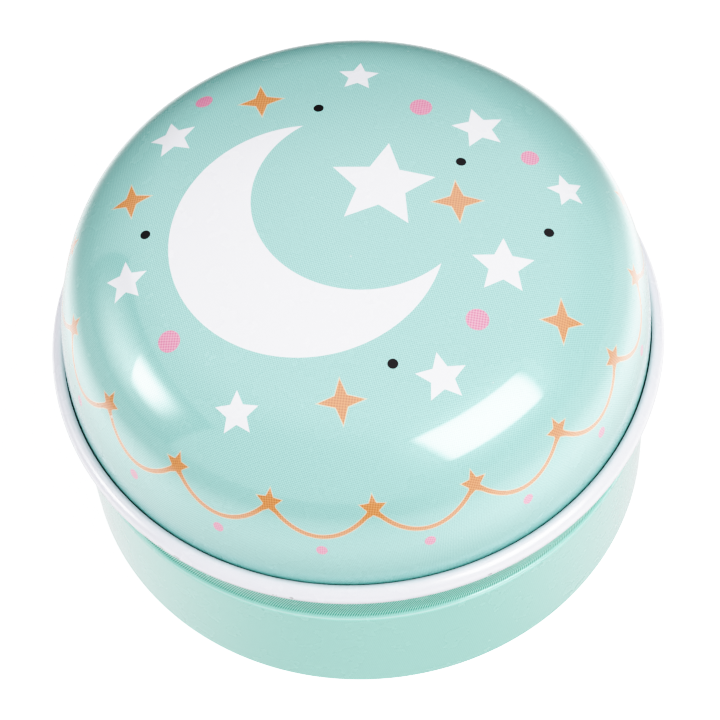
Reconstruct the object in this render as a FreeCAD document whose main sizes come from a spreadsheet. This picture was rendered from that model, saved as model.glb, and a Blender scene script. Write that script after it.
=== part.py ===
import FreeCAD, Part
import math
import os
import Sketcher
from FreeCAD import Placement, Vector

# A small round slip-lid tin, pressed and rolled from thin tinplate. A domed lid with a rolled rim
# slips over the stepped neck of a rolled wall, and a pressed base is gripped by the wall's foot.
# Millimetres, +Z up. The origin is the middle of the ring that the tin stands on, the front faces
# -Y, and the wall's side seam is at the back, +Y.

# Driving sizes: alias, value and meaning. Angles are in degrees, all else in millimetres.
DRIVING_SIZES = [
    ("sheet_gauge", 0.25, "thickness of the tinplate, the same in all three pieces"),
    ("wall_radius", 29.6, "outside of the straight wall"),
    ("shoulder_height", 13.6, "top of the straight wall, where it turns in to the neck"),
    ("neck_step", 0.5, "how far the neck stands in from the wall"),
    ("crest_bend", 0.25, "inside radius of the bend at the top of the wall"),
    ("hollow_bend", 0.8, "outside radius of the hollow bend at the bottom of the neck"),
    ("neck_show", 5.5, "neck left bare between the shoulder and the closed lid"),
    ("mouth_roll", 0.65, "outer radius of the neck's edge, rolled inward"),
    ("seat_gap", 0.1, "clearance where the closed lid seats on the mouth"),
    ("lid_slack", 0.1, "extra room round the neck at the lid's straight skirt"),
    ("rim_overhang", 1.45, "how far the lid's rim stands out from its skirt"),
    ("rim_roll", 1.22, "outer radius of the lid's rolled rim"),
    ("rim_fold", 0.18, "inside radius of the fold under the rim"),
    ("rim_crevice", 0.1, "gap between the rim's free edge and the skirt"),
    ("dome_lean", 16.7, "angle through which the lower dome leans in"),
    ("dome_sweep", 30.0, "radius of the lower dome's profile"),
    ("dome_knuckle", 12.0, "radius of the dome's shoulder"),
    ("dome_crown", 90.0, "radius of the dome's top"),
    ("foot_bend", 0.08, "inside radius of the two bends of the folded foot"),
    ("foot_rise", 2.0, "height of the folded foot's inner leg"),
    ("seam_fit", 0.05, "clearance between the base and the foot that grips it"),
    ("base_corner", 0.08, "inside radius where the base turns down into the foot"),
    ("base_ring", 3.5, "width of the base's raised ring, in from the wall"),
    ("base_drop", 0.9, "how far the middle of the base lies below its ring"),
    ("base_bend", 0.8, "inside radius of the bends between ring and middle"),
    ("side_seam_width", 3.0, "width of the doubled strip of the side seam, inside"),
    ("side_seam_inset", 0.6, "gap between the doubled strip and the base or shoulder"),
    ("side_seam_line", 0.22, "width of the line that the side seam shows outside"),
    ("side_seam_depth", 0.08, "depth of that line"),
    ("cut_overrun", 0.5, "how far a cut runs past the face that it starts from"),
]

START, END, CENTRE = 1, 2, 3
ORIGIN = -1
ACROSS, UPRIGHT = -1, -2


class Size:
    """A size with its value now and the formula of sheet cells that drives it."""

    def __init__(self, value, formula):
        self.value = value
        self.formula = formula

    def __add__(self, other):
        return Size(self.value + other.value, f"({self.formula} + {other.formula})")

    def __sub__(self, other):
        return Size(self.value - other.value, f"({self.formula} - {other.formula})")

    def root_of_product(self, other):
        """Side of the square that is as large as a rectangle of this size and another."""
        side = math.sqrt(self.value * other.value)
        return Size(side, f"sqrt({self.formula} * {other.formula})")

    def arc_angle(self, radius):
        """Angle that this length takes up round a circle."""
        return f"{self.formula} / {radius.formula} * 1 rad"


class Outline:
    """A closed outline of lines and arcs in a body's sketch, with its sizes driven by the sheet."""

    def __init__(self, body, name, plane_role):
        self.sketch = body.newObject("Sketcher::SketchObject", name)
        plane = next(feature for feature in body.Origin.OriginFeatures if feature.Role == plane_role)
        self.sketch.AttachmentSupport = [(plane, "")]
        self.sketch.MapMode = "FlatFace"

    def line(self, start, end):
        return self.sketch.addGeometry(Part.LineSegment(Vector(*start), Vector(*end)), False)

    def arc(self, centre, radius, first, last):
        circle = Part.Circle(Vector(*centre), Vector(0, 0, 1), radius.value)
        curve = self.sketch.addGeometry(Part.ArcOfCircle(circle, first, last), False)
        self.drive(radius, "Radius", curve)
        return curve

    def drive(self, size, kind, *places):
        """Add a constraint of one size and bind it to the sheet."""
        index = self.sketch.addConstraint(Sketcher.Constraint(kind, *places, size.value))
        self.sketch.setExpression(f"Constraints[{index}]", size.formula)

    def place_across(self, size, curve, point):
        self.drive(size, "DistanceX", ORIGIN, START, curve, point)

    def place_up(self, size, curve, point):
        self.drive(size, "DistanceY", ORIGIN, START, curve, point)

    def hold(self, kind, *places):
        """Add a constraint that has no size."""
        self.sketch.addConstraint(Sketcher.Constraint(kind, *places))

    def close(self, first, first_point, second, second_point):
        """Join two open ends with a straight edge."""
        ends = self.sketch.getPoint(first, first_point), self.sketch.getPoint(second, second_point)
        edge = self.sketch.addGeometry(Part.LineSegment(*ends), False)
        self.hold("Coincident", first, first_point, edge, START)
        self.hold("Coincident", second, second_point, edge, END)
        return edge

    def revolve(self, body, kind, name, angle=None):
        """Turn the outline about the tin's axis, all round or through an angle about its plane."""
        feature = body.newObject(kind, name)
        feature.Profile = self.sketch
        feature.ReferenceAxis = (self.sketch, ["V_Axis"])
        if angle:
            feature.Midplane = True
            feature.setExpression("Angle", angle)
        return feature


class Sizes:
    """The driving sizes by name, and the sizes that the pieces share."""

    def __init__(self, sheet):
        for alias, _, _ in DRIVING_SIZES:
            setattr(self, alias, Size(float(sheet.get(alias)), f"sizes.{alias}"))
        self.nothing = Size(0, "0")
        self.wall_bore = self.wall_radius - self.sheet_gauge
        self.neck_radius = self.wall_radius - self.neck_step
        self.skirt_bore = self.neck_radius + self.seat_gap + self.lid_slack
        self.skirt_radius = self.skirt_bore + self.sheet_gauge
        self.rim_radius = self.skirt_radius + self.rim_overhang
        self.rim_height = self.shoulder_height + self.neck_show + self.rim_roll
        self.base_underside = self.foot_rise + self.seam_fit
        self.mouth_centre_height = self.rim_height + self.rim_roll + self.seat_rise()

    def seat_rise(self):
        """How far above the rim the leaning dome has closed in by the slack round the neck."""
        lining_sweep = self.dome_sweep - self.sheet_gauge
        return self.lid_slack.root_of_product(lining_sweep + lining_sweep - self.lid_slack)


def ends_of_bend(total_radius, step):
    """Angle and length of an S of two equal-angled bends that moves a sheet sideways by a step."""
    angle = math.acos(1 - step.value / total_radius.value)
    return angle, total_radius.value * math.sin(angle)


def lid_face(outline, size, inset, fold_radius, roll_radius):
    """Draw one face of the lid's sheet, from the top of the dome to the rim's free edge.

    The lid's outline is drawn about the middle of the rim's roll.
    """
    sweep, knuckle, crown = size.dome_sweep, size.dome_knuckle, size.dome_crown
    lean = math.radians(size.dome_lean.value)
    sweep_centre = (size.skirt_radius.value - sweep.value, size.rim_roll.value)
    knuckle_reach = sweep.value - knuckle.value
    knuckle_centre = (sweep_centre[0] + knuckle_reach * math.cos(lean),
                      sweep_centre[1] + knuckle_reach * math.sin(lean))
    crown_reach = crown.value - knuckle.value
    crown_angle = math.acos(knuckle_centre[0] / crown_reach)
    crown_centre = (0, knuckle_centre[1] - crown_reach * math.sin(crown_angle))

    roll_centre = (size.rim_radius.value - size.rim_roll.value, 0)
    fold_across = size.skirt_radius.value + size.rim_fold.value
    fold_reach = size.rim_roll.value - size.sheet_gauge.value - size.rim_fold.value
    fold_drop = math.sqrt(fold_reach ** 2 - (fold_across - roll_centre[0]) ** 2)
    fold_centre = (fold_across, -fold_drop)
    fold_end = math.atan2(-fold_drop, fold_across - roll_centre[0])
    lip_across = size.skirt_radius + size.rim_crevice
    roll_end = math.acos((lip_across.value - roll_centre[0]) / size.rim_roll.value)
    skirt = size.skirt_radius - inset

    top = outline.arc(crown_centre, crown - inset, crown_angle, math.pi / 2)
    shoulder = outline.arc(knuckle_centre, knuckle - inset, lean, crown_angle)
    side = outline.arc(sweep_centre, sweep - inset, 0, lean)
    drop = outline.line((skirt.value, size.rim_roll.value), (skirt.value, -fold_drop))
    fold = outline.arc(fold_centre, fold_radius, math.pi, fold_end + 2 * math.pi)
    roll = outline.arc(roll_centre, roll_radius, fold_end, roll_end)

    outline.hold("PointOnObject", top, CENTRE, UPRIGHT)
    outline.hold("PointOnObject", top, END, UPRIGHT)
    outline.hold("Tangent", top, START, shoulder, END)
    outline.hold("Tangent", shoulder, START, side, END)
    outline.hold("Tangent", side, START, drop, START)
    outline.hold("Tangent", drop, END, fold, START)
    outline.hold("Tangent", fold, END, roll, START)
    outline.hold("Vertical", drop)
    lean_size = Size(lean, f"{size.dome_lean.formula} * 1 deg")
    outline.drive(lean_size, "Angle", side)
    outline.place_across(skirt, drop, START)
    outline.place_up(size.rim_roll, drop, START)
    outline.place_across(size.rim_radius - size.rim_roll, roll, CENTRE)
    outline.hold("PointOnObject", roll, CENTRE, ACROSS)
    return top, roll


def make_lid_shell(document, size):
    """The lid: one pressed shell, its edge folded out and rolled up into the rim."""
    body = document.addObject("PartDesign::Body", "lid_shell")
    outline = Outline(body, "lid_outline", "XZ_Plane")
    gauge = size.sheet_gauge
    print_top, print_roll = lid_face(outline, size, size.nothing, size.rim_fold, size.rim_roll - gauge)
    lining_top, lining_roll = lid_face(outline, size, gauge, size.rim_fold + gauge, size.rim_roll)
    outline.close(print_top, END, lining_top, END)
    lip = outline.close(print_roll, END, lining_roll, END)
    outline.hold("PointOnObject", lining_roll, CENTRE, lip)
    outline.place_across(size.skirt_radius + size.rim_crevice, lining_roll, END)
    outline.revolve(body, "PartDesign::Revolution", "lid_sheet")
    body.Placement = Placement(Vector(0, 0, size.rim_height.value), FreeCAD.Rotation())
    body.setExpression("Placement.Base.z", size.rim_height.formula)
    return body


def wall_face(outline, size, inset, bends, floor):
    """Draw one face of the wall's sheet, from the foot's inner leg to the end of the mouth's roll.

    The bends are this face's radii at the foot, the crest, the hollow and the mouth.
    """
    foot, crest, hollow, mouth = bends
    gauge = size.sheet_gauge
    grip = gauge + size.seam_fit + gauge + size.seam_fit + gauge
    leg_across = size.wall_radius - grip + inset
    wall_across = size.wall_radius - inset
    neck_across = size.neck_radius - inset
    foot_centre = size.foot_bend + gauge
    leg_bend = (size.wall_radius - grip + foot_centre).value
    wall_bend = (size.wall_radius - foot_centre).value
    turn, rise = ends_of_bend(size.crest_bend + gauge + size.hollow_bend, size.neck_step)
    shoulder = size.shoulder_height.value
    crest_centre = ((size.wall_radius - size.crest_bend - gauge).value, shoulder)
    hollow_centre = ((size.neck_radius + size.hollow_bend).value, shoulder + rise)
    mouth_centre = ((size.neck_radius - size.mouth_roll).value, size.mouth_centre_height.value)
    quarter, half, whole = math.pi / 2, math.pi, 2 * math.pi

    leg = outline.line((leg_across.value, size.foot_rise.value), (leg_across.value, foot_centre.value))
    inner_bend = outline.arc((leg_bend, foot_centre.value), foot, half, half + quarter)
    stand = outline.line((leg_bend, floor.value), (wall_bend, floor.value))
    outer_bend = outline.arc((wall_bend, foot_centre.value), foot, half + quarter, whole)
    wall = outline.line((wall_across.value, foot_centre.value), (wall_across.value, shoulder))
    crest_arc = outline.arc(crest_centre, crest, 0, turn)
    hollow_arc = outline.arc(hollow_centre, hollow, half, half + turn)
    neck = outline.line((neck_across.value, hollow_centre[1]), (neck_across.value, mouth_centre[1]))
    mouth_arc = outline.arc(mouth_centre, mouth, 0, half + quarter)

    for upright, across in ((leg, leg_across), (wall, wall_across), (neck, neck_across)):
        outline.hold("Vertical", upright)
        outline.place_across(across, upright, END)
    outline.hold("Horizontal", stand)
    outline.hold("Tangent", leg, END, inner_bend, START)
    outline.hold("Tangent", inner_bend, END, stand, START)
    outline.hold("Tangent", stand, END, outer_bend, START)
    outline.hold("Tangent", outer_bend, END, wall, START)
    outline.hold("Tangent", wall, END, crest_arc, START)
    outline.hold("Tangent", crest_arc, END, hollow_arc, END)
    outline.hold("Tangent", hollow_arc, START, neck, START)
    outline.hold("Tangent", neck, END, mouth_arc, START)
    outline.hold("Vertical", mouth_arc, CENTRE, mouth_arc, END)
    outline.place_up(size.foot_rise, leg, START)
    outline.place_up(size.shoulder_height, wall, END)
    outline.place_up(size.mouth_centre_height, mouth_arc, CENTRE)
    if floor.value > 0:
        outline.place_up(floor, stand, START)
    else:
        outline.hold("PointOnObject", stand, START, ACROSS)
    return leg, mouth_arc


def block(outline, inner, outer, bottom, top):
    """Draw a rectangle between two radii and two heights."""
    corners = [(inner, bottom), (outer, bottom), (outer, top), (inner, top)]
    points = [(across.value, up.value) for across, up in corners]
    following = points[1:] + points[:1]
    sides = [outline.line(*ends) for ends in zip(points, following)]
    for index, side in enumerate(sides):
        outline.hold("Coincident", side, END, sides[index - 3], START)
        outline.hold("Vertical" if index % 2 else "Horizontal", side)
    outline.place_across(inner, sides[0], START)
    outline.place_up(bottom, sides[0], START)
    outline.place_across(outer, sides[2], START)
    outline.place_up(top, sides[2], START)


def make_body_wall(document, size):
    """The wall: a rolled strip with its foot folded in, its neck stepped in and a side seam."""
    body = document.addObject("PartDesign::Body", "body_wall")
    gauge = size.sheet_gauge
    outline = Outline(body, "wall_outline", "XZ_Plane")
    print_bends = (size.foot_bend + gauge, size.crest_bend + gauge, size.hollow_bend, size.mouth_roll)
    lining_bends = (size.foot_bend, size.crest_bend, size.hollow_bend + gauge, size.mouth_roll - gauge)
    print_leg, print_mouth = wall_face(outline, size, size.nothing, print_bends, size.nothing)
    lining_leg, lining_mouth = wall_face(outline, size, gauge, lining_bends, gauge)
    outline.close(print_leg, START, lining_leg, START)
    outline.close(print_mouth, END, lining_mouth, END)
    outline.revolve(body, "PartDesign::Revolution", "wall_sheet")

    strip = Outline(body, "seam_strip_outline", "YZ_Plane")
    strip_foot = size.base_underside + gauge + size.side_seam_inset
    strip_top = size.shoulder_height - size.side_seam_inset
    block(strip, size.wall_bore - gauge, size.wall_bore, strip_foot, strip_top)
    strip_angle = size.side_seam_width.arc_angle(size.wall_radius)
    strip.revolve(body, "PartDesign::Revolution", "seam_strip", strip_angle)

    line = Outline(body, "seam_line_outline", "YZ_Plane")
    line_floor = size.wall_radius - size.side_seam_depth
    line_start = size.wall_radius + size.cut_overrun
    block(line, line_floor, line_start, size.foot_bend + gauge, size.shoulder_height)
    line_angle = size.side_seam_line.arc_angle(size.wall_radius)
    line.revolve(body, "PartDesign::Groove", "seam_line", line_angle)
    return body


def base_face(outline, size, inset, bends):
    """Draw one face of the base's sheet, from the axis to the end of its turned-down edge.

    The bends are this face's radii where the sheet rises to the ring, levels out and turns down.
    """
    rise_bend, level_bend, corner = bends
    gauge = size.sheet_gauge
    ring_height = size.base_underside + inset
    middle_height = size.base_underside - size.base_drop + inset
    ring_start = size.wall_bore - size.base_ring
    edge_bore = size.wall_bore - size.seam_fit - gauge
    edge_across = edge_bore + inset
    edge_end = gauge + size.foot_bend + size.seam_fit
    turn, run = ends_of_bend(size.base_bend + size.base_bend + gauge, size.base_drop)
    rise_start = ring_start.value - run
    rise_height = size.base_underside - size.base_drop + size.base_bend + gauge
    rise_centre = (rise_start, rise_height.value)
    level_centre = (ring_start.value, (size.base_underside - size.base_bend).value)
    corner_centre = ((edge_bore - size.base_corner).value, (size.base_underside - size.base_corner).value)
    quarter = math.pi / 2

    middle = outline.line((0, middle_height.value), (rise_start, middle_height.value))
    rise_arc = outline.arc(rise_centre, rise_bend, 3 * quarter, 3 * quarter + turn)
    level_arc = outline.arc(level_centre, level_bend, quarter, quarter + turn)
    ring = outline.line((ring_start.value, ring_height.value), (corner_centre[0], ring_height.value))
    corner_arc = outline.arc(corner_centre, corner, 0, quarter)
    edge = outline.line((edge_across.value, corner_centre[1]), (edge_across.value, edge_end.value))

    for level, height in ((middle, middle_height), (ring, ring_height)):
        outline.hold("Horizontal", level)
        outline.place_up(height, level, START)
    outline.hold("PointOnObject", middle, START, UPRIGHT)
    outline.hold("Tangent", middle, END, rise_arc, START)
    outline.hold("Tangent", rise_arc, END, level_arc, END)
    outline.hold("Tangent", level_arc, START, ring, START)
    outline.hold("Tangent", ring, END, corner_arc, END)
    outline.hold("Tangent", corner_arc, START, edge, START)
    outline.hold("Vertical", edge)
    outline.place_across(ring_start, ring, START)
    outline.place_across(edge_across, edge, END)
    outline.place_up(edge_end, edge, END)
    return middle, edge


def make_base_disc(document, size):
    """The base: a pressed disc with a raised ring, its edge turned down into the wall's foot."""
    body = document.addObject("PartDesign::Body", "base_disc")
    gauge = size.sheet_gauge
    outline = Outline(body, "base_outline", "XZ_Plane")
    outside_bends = (size.base_bend + gauge, size.base_bend, size.base_corner)
    inside_bends = (size.base_bend, size.base_bend + gauge, size.base_corner + gauge)
    outside_middle, outside_edge = base_face(outline, size, size.nothing, outside_bends)
    inside_middle, inside_edge = base_face(outline, size, gauge, inside_bends)
    outline.close(outside_middle, START, inside_middle, START)
    outline.close(outside_edge, END, inside_edge, END)
    outline.revolve(body, "PartDesign::Revolution", "base_sheet")
    return body


def fill_sheet(document):
    """Write the driving sizes into the document's sheet, one row each."""
    sheet = document.addObject("Spreadsheet::Sheet", "sizes")
    for row, (alias, value, meaning) in enumerate(DRIVING_SIZES, start=1):
        sheet.set(f"A{row}", alias)
        sheet.set(f"B{row}", str(value))
        sheet.set(f"C{row}", meaning)
        sheet.setAlias(f"B{row}", alias)
    document.recompute()
    return sheet


def check(document, bodies):
    """Stop if any object of the document failed or any piece has no sound solid."""
    for item in document.Objects:
        if "Invalid" in item.State or "Error" in item.State:
            raise RuntimeError(f"{item.Name} failed: {item.State}")
        if item.TypeId == "Sketcher::SketchObject" and not item.FullyConstrained:
            raise RuntimeError(f"{item.Name} is not fully constrained")
    for body in bodies:
        if body.Shape.isNull() or not body.Shape.isValid() or len(body.Shape.Solids) != 1:
            raise RuntimeError(f"{body.Label} is not one sound solid")


def main():
    """Build the three pieces and write each to its own file."""
    document = FreeCAD.newDocument("slip_lid_tin")
    size = Sizes(fill_sheet(document))
    bodies = [make(document, size) for make in (make_lid_shell, make_body_wall, make_base_disc)]
    document.recompute()
    check(document, bodies)
    os.makedirs("parts", exist_ok=True)
    for body in bodies:
        body.Shape.exportStep(f"parts/{body.Label}.step")
        box = body.Shape.optimalBoundingBox()
        print(f"{body.Label}: {box.XLength:.2f} x {box.YLength:.2f} mm, z {box.ZMin:.2f} to {box.ZMax:.2f},"
              f" volume {body.Shape.Volume:.1f}")


main()
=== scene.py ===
"""Looks of a small round slip-lid tin: a domed lid, a rolled wall and a pressed base.

Metres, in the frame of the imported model: +Z up, the front towards -Y, the wall's side seam at +Y.
"""

import logging
import math
from collections.abc import Callable, Iterable, Sequence
from dataclasses import dataclass, field
from enum import Enum

import bmesh
import bpy
from mathutils import Matrix, Vector


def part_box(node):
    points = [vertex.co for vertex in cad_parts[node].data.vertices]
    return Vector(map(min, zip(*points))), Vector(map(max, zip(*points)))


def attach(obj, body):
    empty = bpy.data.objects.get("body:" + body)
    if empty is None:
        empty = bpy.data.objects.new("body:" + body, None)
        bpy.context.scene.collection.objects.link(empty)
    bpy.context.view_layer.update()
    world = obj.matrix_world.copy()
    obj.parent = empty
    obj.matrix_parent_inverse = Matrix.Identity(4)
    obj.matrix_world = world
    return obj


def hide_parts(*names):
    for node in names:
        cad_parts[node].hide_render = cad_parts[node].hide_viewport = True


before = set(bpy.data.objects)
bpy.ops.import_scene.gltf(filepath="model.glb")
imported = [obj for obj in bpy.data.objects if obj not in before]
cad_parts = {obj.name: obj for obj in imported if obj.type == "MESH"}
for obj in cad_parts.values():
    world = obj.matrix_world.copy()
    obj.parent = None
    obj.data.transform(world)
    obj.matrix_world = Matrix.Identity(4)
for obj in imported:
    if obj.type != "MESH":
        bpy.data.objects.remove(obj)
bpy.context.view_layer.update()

log = logging.getLogger("tin")

MM = 0.001
TINY = 1e-4 * MM
PLACE = "print_place"
RUB = "rub"
# Weight of the painted shade in the lid's crevice, between the rim and the dome's skirt.
CREVICE_SHADE = "crevice_shade"

Point = tuple[float, float]
Triple = tuple[float, float, float]
Colour = tuple[float, float, float, float]
Thing = bpy.types.Object
Material = bpy.types.Material
Socket = bpy.types.NodeSocket
Ports = bpy.types.bpy_prop_collection
Feed = Socket | float | tuple[float, ...]


def shade(red: int, green: int, blue: int) -> Colour:
    """Turn a screen colour into the linear one that shaders use.

    Args:
        red: Red of the screen colour, 0 to 255.
        green: Green of it.
        blue: Blue of it.

    Returns:
        The linear colour, with full alpha.
    """
    full, toe, slope, offset, gamma = 255, 0.04045, 12.92, 0.055, 2.4
    parts = [level / full for level in (red, green, blue)]
    linear = [p / slope if p <= toe else ((p + offset) / (1 + offset)) ** gamma for p in parts]
    return (*linear, 1.0)


def put_in_scene(name: str, data: bpy.types.ID) -> Thing:
    """Make an object and put it in the scene.

    Args:
        name: The object's name.
        data: Its mesh, or its camera's data.

    Returns:
        The object.
    """
    made = bpy.data.objects.new(name, data)
    bpy.context.scene.collection.objects.link(made)
    return made


# Profiles of the sheet


class Side(Enum):
    """What a stretch of a sheet's profile shows. The value is its material slot."""

    OUTSIDE = 0
    INSIDE = 1
    CUT = 2


def polar(centre: Point, radius: float, angle: float) -> Point:
    """The point at a distance and an angle from a centre."""
    return centre[0] + radius * math.cos(angle), centre[1] + radius * math.sin(angle)


def arc(centre: Point, radius: float, first: float, last: float) -> list[Point]:
    """Points along an arc, close enough together to look round.

    Args:
        centre: Centre of the arc.
        radius: Radius of the arc.
        first: Angle at which it starts, in radians.
        last: Angle at which it ends.

    Returns:
        The points from first to last.
    """
    sagitta, fewest = 0.0015 * MM, 6
    step = 2 * math.acos(1 - min(sagitta / radius, 1))
    count = max(fewest, math.ceil(abs(last - first) / step))
    angles = [first + (last - first) * index / count for index in range(count + 1)]
    return [polar(centre, radius, angle) for angle in angles]


def line(start: Point, end: Point) -> list[Point]:
    """Points along a straight stretch, with one close to each end so that its shading stays flat.

    Args:
        start: Where it starts.
        end: Where it ends.

    Returns:
        The points from start to end.
    """
    support, pitch = 0.05 * MM, 1.5 * MM
    length = math.dist(start, end)
    count = max(1, math.ceil(length / pitch))
    shares = [index / count for index in range(count + 1)]
    if length > 3 * support:
        shares[1:1] = [support / length]
        shares[-1:-1] = [1 - support / length]
    return [(start[0] + (end[0] - start[0]) * s, start[1] + (end[1] - start[1]) * s) for s in shares]


def joined(*runs: list[Point]) -> list[Point]:
    """Runs of points end to end, with the doubled points where they meet left out.

    Args:
        runs: The runs, in order.

    Returns:
        One run of points.
    """
    points = [runs[0][0]]
    for run in runs:
        points += [p for p in run if math.dist(p, points[-1]) > TINY]
    return points


def rounded_cut(first: Sequence[Point], last: Point) -> list[Point]:
    """The half round that ends a sheet, from one of its faces over to the other.

    Args:
        first: Points of the face that it starts from, which end at the cut.
        last: End of the other face.

    Returns:
        The points of the half round, both ends left out.
    """
    count = 8
    start, before = Vector(first[-1]), Vector(first[-2])
    centre = (start + Vector(last)) / 2
    arm = start - centre
    bulge = Vector((-arm.y, arm.x))
    if bulge.dot(start - before) < 0:
        bulge.negate()
    turns = [math.pi * index / count for index in range(1, count)]
    return [tuple(centre + arm * math.cos(t) + bulge * math.sin(t)) for t in turns]


@dataclass
class Profile:
    """The outline of a sheet in the half plane across and up, ready to be spun."""

    points: list[Point] = field(default_factory=list)
    sides: list[Side] = field(default_factory=list)
    along: list[float] = field(default_factory=list)
    loops: bool = False

    @classmethod
    def of_sheet(cls, outside: list[Point], inside: list[Point], loops: bool) -> "Profile":
        """Join a sheet's two faces by their cut edges.

        Args:
            outside: The outer face, from its start to its end.
            inside: The inner face, in the same direction.
            loops: True if both ends are cut, False if the sheet starts on the axis.

        Returns:
            The whole outline.
        """
        profile = cls(loops=loops)
        profile.add(outside, Side.OUTSIDE)
        profile.add(rounded_cut(outside, inside[-1]), Side.CUT)
        profile.add(inside[::-1], Side.INSIDE)
        if loops:
            profile.add(rounded_cut(inside[::-1], outside[0]), Side.CUT)
        return profile

    def add(self, points: Iterable[Point], side: Side) -> None:
        """Add a stretch of points that shows one side of the sheet.

        Args:
            points: The points, in order.
            side: What the stretch shows.
        """
        for index, point in enumerate(points):
            step = math.dist(point, self.points[-1]) if index else 0.0
            self.along.append(self.along[-1] + step if index else 0.0)
            self.points.append(point)
            self.sides.append(side)

    def stretches(self) -> list[tuple[int, int, Side]]:
        """Pairs of neighbouring points, each with the side that lies between them.

        Returns:
            The places of both points in the outline, and the side.
        """
        sides, last = self.sides, len(self.points) - 1
        pairs = [(index, index + 1) for index in range(last)] + ([(last, 0)] if self.loops else [])
        return [(a, b, sides[a] if sides[a] is sides[b] else Side.CUT) for a, b in pairs]


@dataclass(frozen=True)
class Spot:
    """A place on a profile where the sheet is rubbed by hands and shelves, or where painted shade
    darkens a crevice.
    """

    across: float
    up: float
    reach: float
    side: Side

    def weight(self, point: Point, side: Side) -> float:
        """How much of it a point of the profile gets, from 0 to 1.

        Args:
            point: The point.
            side: The side of the sheet that the point is on.

        Returns:
            The point's share, which is nothing on the sheet's other side.
        """
        if side is not self.side:
            return 0.0
        return math.exp(-((math.dist(point, (self.across, self.up)) / self.reach) ** 2))


Shift = Callable[[Point, Side, float], float]
Placing = Callable[[float, float], Triple]


def evenly(count: int) -> list[float]:
    """Angles spread evenly round the axis."""
    return [math.tau * index / count for index in range(count)]


def on_blank(along: float, angle: float) -> Triple:
    """The place on the round blank that a domed or dished sheet was drawn from."""
    return along * math.cos(angle), along * math.sin(angle), 0.0


def spin(
    name: str,
    profile: Profile,
    angles: Sequence[float],
    placing: Placing,
    rubbed: Sequence[Spot] = (),
    shade_spots: Sequence[Spot] = (),
    shift: Shift = lambda point, side, angle: 0.0,
) -> Thing:
    """Turn a profile about the axis into a closed mesh.

    Args:
        name: Name of the new object.
        profile: The outline to turn.
        angles: Angles of the mesh's columns, from the axis's +X side.
        placing: Gives a vertex's place on the flat sheet, from its length along and its angle.
        rubbed: Where the profile is rubbed.
        shade_spots: Where it is darkened by painted shade, in a crevice.
        shift: Gives how far a profile point moves in at an angle.

    Returns:
        The new object, with smooth faces and no materials yet.
    """
    vertices, rows, places = [], [], []
    marks = {RUB: [], CREVICE_SHADE: []}
    for (across, up), side, along in zip(profile.points, profile.sides, profile.along):
        columns = angles if across > TINY else angles[:1]
        first = len(vertices)
        spread = list(range(first, first + len(columns)))
        rows.append(spread if across > TINY else spread * len(angles))
        # The real rub of the edges, and the painted shade of the crevice.
        for mark, spots in ((RUB, rubbed), (CREVICE_SHADE, shade_spots)):
            weight = max((spot.weight((across, up), side) for spot in spots), default=0.0)
            marks[mark] += [weight] * len(columns)
        for angle in columns:
            reach = max(across - shift((across, up), side, angle), 0.0)
            vertices.append((*polar((0.0, 0.0), reach, angle), up))
            places += placing(along, angle)

    faces, slots = [], []
    for a, b, side in profile.stretches():
        for column in range(len(angles)):
            after = (column + 1) % len(angles)
            corners = (rows[a][column], rows[a][after], rows[b][after], rows[b][column])
            faces.append(tuple(dict.fromkeys(corners)))
            slots.append(side.value)

    mesh = bpy.data.meshes.new(name)
    mesh.from_pydata(vertices, [], faces)
    mesh.polygons.foreach_set("material_index", slots)
    mesh.polygons.foreach_set("use_smooth", [True] * len(faces))
    mesh.attributes.new(PLACE, "FLOAT_VECTOR", "POINT").data.foreach_set("vector", places)
    for mark, weights in marks.items():
        mesh.attributes.new(mark, "FLOAT", "POINT").data.foreach_set("value", weights)
    shell = bmesh.new()
    shell.from_mesh(mesh)
    bmesh.ops.recalc_face_normals(shell, faces=shell.faces)
    shell.to_mesh(mesh)
    shell.free()
    return put_in_scene(name, mesh)


# Wiring of shader nodes


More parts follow.
